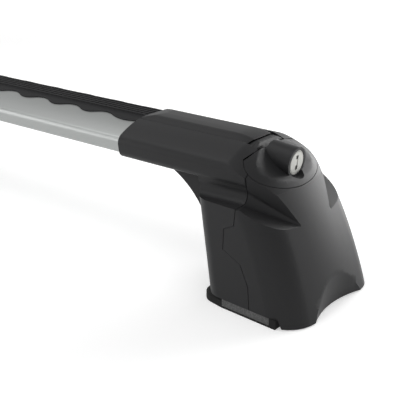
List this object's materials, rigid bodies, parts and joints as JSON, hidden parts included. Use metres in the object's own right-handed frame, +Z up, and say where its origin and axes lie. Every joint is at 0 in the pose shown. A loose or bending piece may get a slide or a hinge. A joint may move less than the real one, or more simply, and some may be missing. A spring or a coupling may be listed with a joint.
{
  "type": "roof rack crossbar",
  "caption": "Flat-section aluminium roof rack crossbar with a ribbed rubber strip on top and moulded feet, each with a hinged locking cap over the screw that draws up its claw.",
  "frame": {"origin": "middle of the bar at the level of the pads' undersides", "axes": "+X along the bar, +Y along the car, +Z up"},
  "size_m": [1.0962, 0.1074, 0.11],
  "materials": {
    "anodised_aluminium": "satin anodised",
    "rubber": "matt",
    "moulded_plastic": "fine grained",
    "steel": "zinc plated",
    "lock_metal": "satin nickel plated",
    "shutter": "bright",
    "cast_alloy": "as cast",
    "painted_steel": "black coated",
    "grey_plate": "grey, rough cast"
  },
  "bodies": {
    "rack": {"bar": "anodised_aluminium", "rubber_infill": "rubber", "right_foot_body": "moulded_plastic", "right_foot_cover": "moulded_plastic", "right_slot_cover": "moulded_plastic", "right_hinge_pin": "steel", "right_foot_frame": "cast_alloy", "right_frame_screws": "steel", "right_clamp_washer": "steel", "right_base_plate": "grey_plate", "right_base_screws": "steel", "right_base_pad": "rubber", "left_foot_body": "moulded_plastic", "left_foot_cover": "moulded_plastic", "left_slot_cover": "moulded_plastic", "left_hinge_pin": "steel", "left_foot_frame": "cast_alloy", "left_frame_screws": "steel", "left_clamp_washer": "steel", "left_base_plate": "grey_plate", "left_base_screws": "steel", "left_base_pad": "rubber"},
    "right_cap": {"right_lock_cap": "moulded_plastic", "right_lock_barrel": "lock_metal"},
    "right_lock": {"right_lock_plug": "lock_metal", "right_key_shutter": "shutter", "right_lock_cam": "steel", "right_cam_screw": "steel"},
    "right_screw": {"right_clamp_screw": "steel"},
    "right_claw": {"right_clamp_claw": "painted_steel", "right_claw_nut": "steel", "right_claw_liner": "rubber"},
    "left_cap": {"left_lock_cap": "moulded_plastic", "left_lock_barrel": "lock_metal"},
    "left_lock": {"left_lock_plug": "lock_metal", "left_key_shutter": "shutter", "left_lock_cam": "steel", "left_cam_screw": "steel"},
    "left_screw": {"left_clamp_screw": "steel"},
    "left_claw": {"left_clamp_claw": "painted_steel", "left_claw_nut": "steel", "left_claw_liner": "rubber"}
  },
  "joints": [
    {"name": "right_cap_hinge", "type": "hinge", "parent": "rack", "child": "right_cap", "pos_m": [0.48407, 0, 0.103], "axis": [0, -1, 0], "range_deg": [0, 90]},
    {"name": "right_lock_turn", "type": "hinge", "parent": "right_cap", "child": "right_lock", "pos_m": [0.51007, 0, 0.0947], "axis": [-0.9962, 0, 0.0872], "range_deg": [0, 90]},
    {"name": "right_claw_slide", "type": "slide", "parent": "rack", "child": "right_claw", "axis": [0.2588, 0, -0.9659], "range_m": [0, 0.015]},
    {"name": "right_screw_turn", "type": "hinge", "parent": "rack", "child": "right_screw", "pos_m": [0.50857, 0, 0.069], "axis": [-0.2588, 0, 0.9659], "range_deg": [0, 4320.1]},
    {"name": "left_cap_hinge", "type": "hinge", "parent": "rack", "child": "left_cap", "pos_m": [-0.48407, 0, 0.103], "axis": [0, 1, 0], "range_deg": [0, 90]},
    {"name": "left_lock_turn", "type": "hinge", "parent": "left_cap", "child": "left_lock", "pos_m": [-0.51007, 0, 0.0947], "axis": [0.9962, 0, 0.0872], "range_deg": [0, 90]},
    {"name": "left_claw_slide", "type": "slide", "parent": "rack", "child": "left_claw", "axis": [-0.2588, 0, -0.9659], "range_m": [0, 0.015]},
    {"name": "left_screw_turn", "type": "hinge", "parent": "rack", "child": "left_screw", "pos_m": [-0.50857, 0, 0.069], "axis": [0.2588, 0, 0.9659], "range_deg": [0, 4320.1]}
  ],
  "couplings": [
    {"joint": "right_screw_turn", "follows": "right_claw_slide", "rad_per_m": 5026.5},
    {"joint": "left_screw_turn", "follows": "left_claw_slide", "rad_per_m": 5026.5}
  ]
}
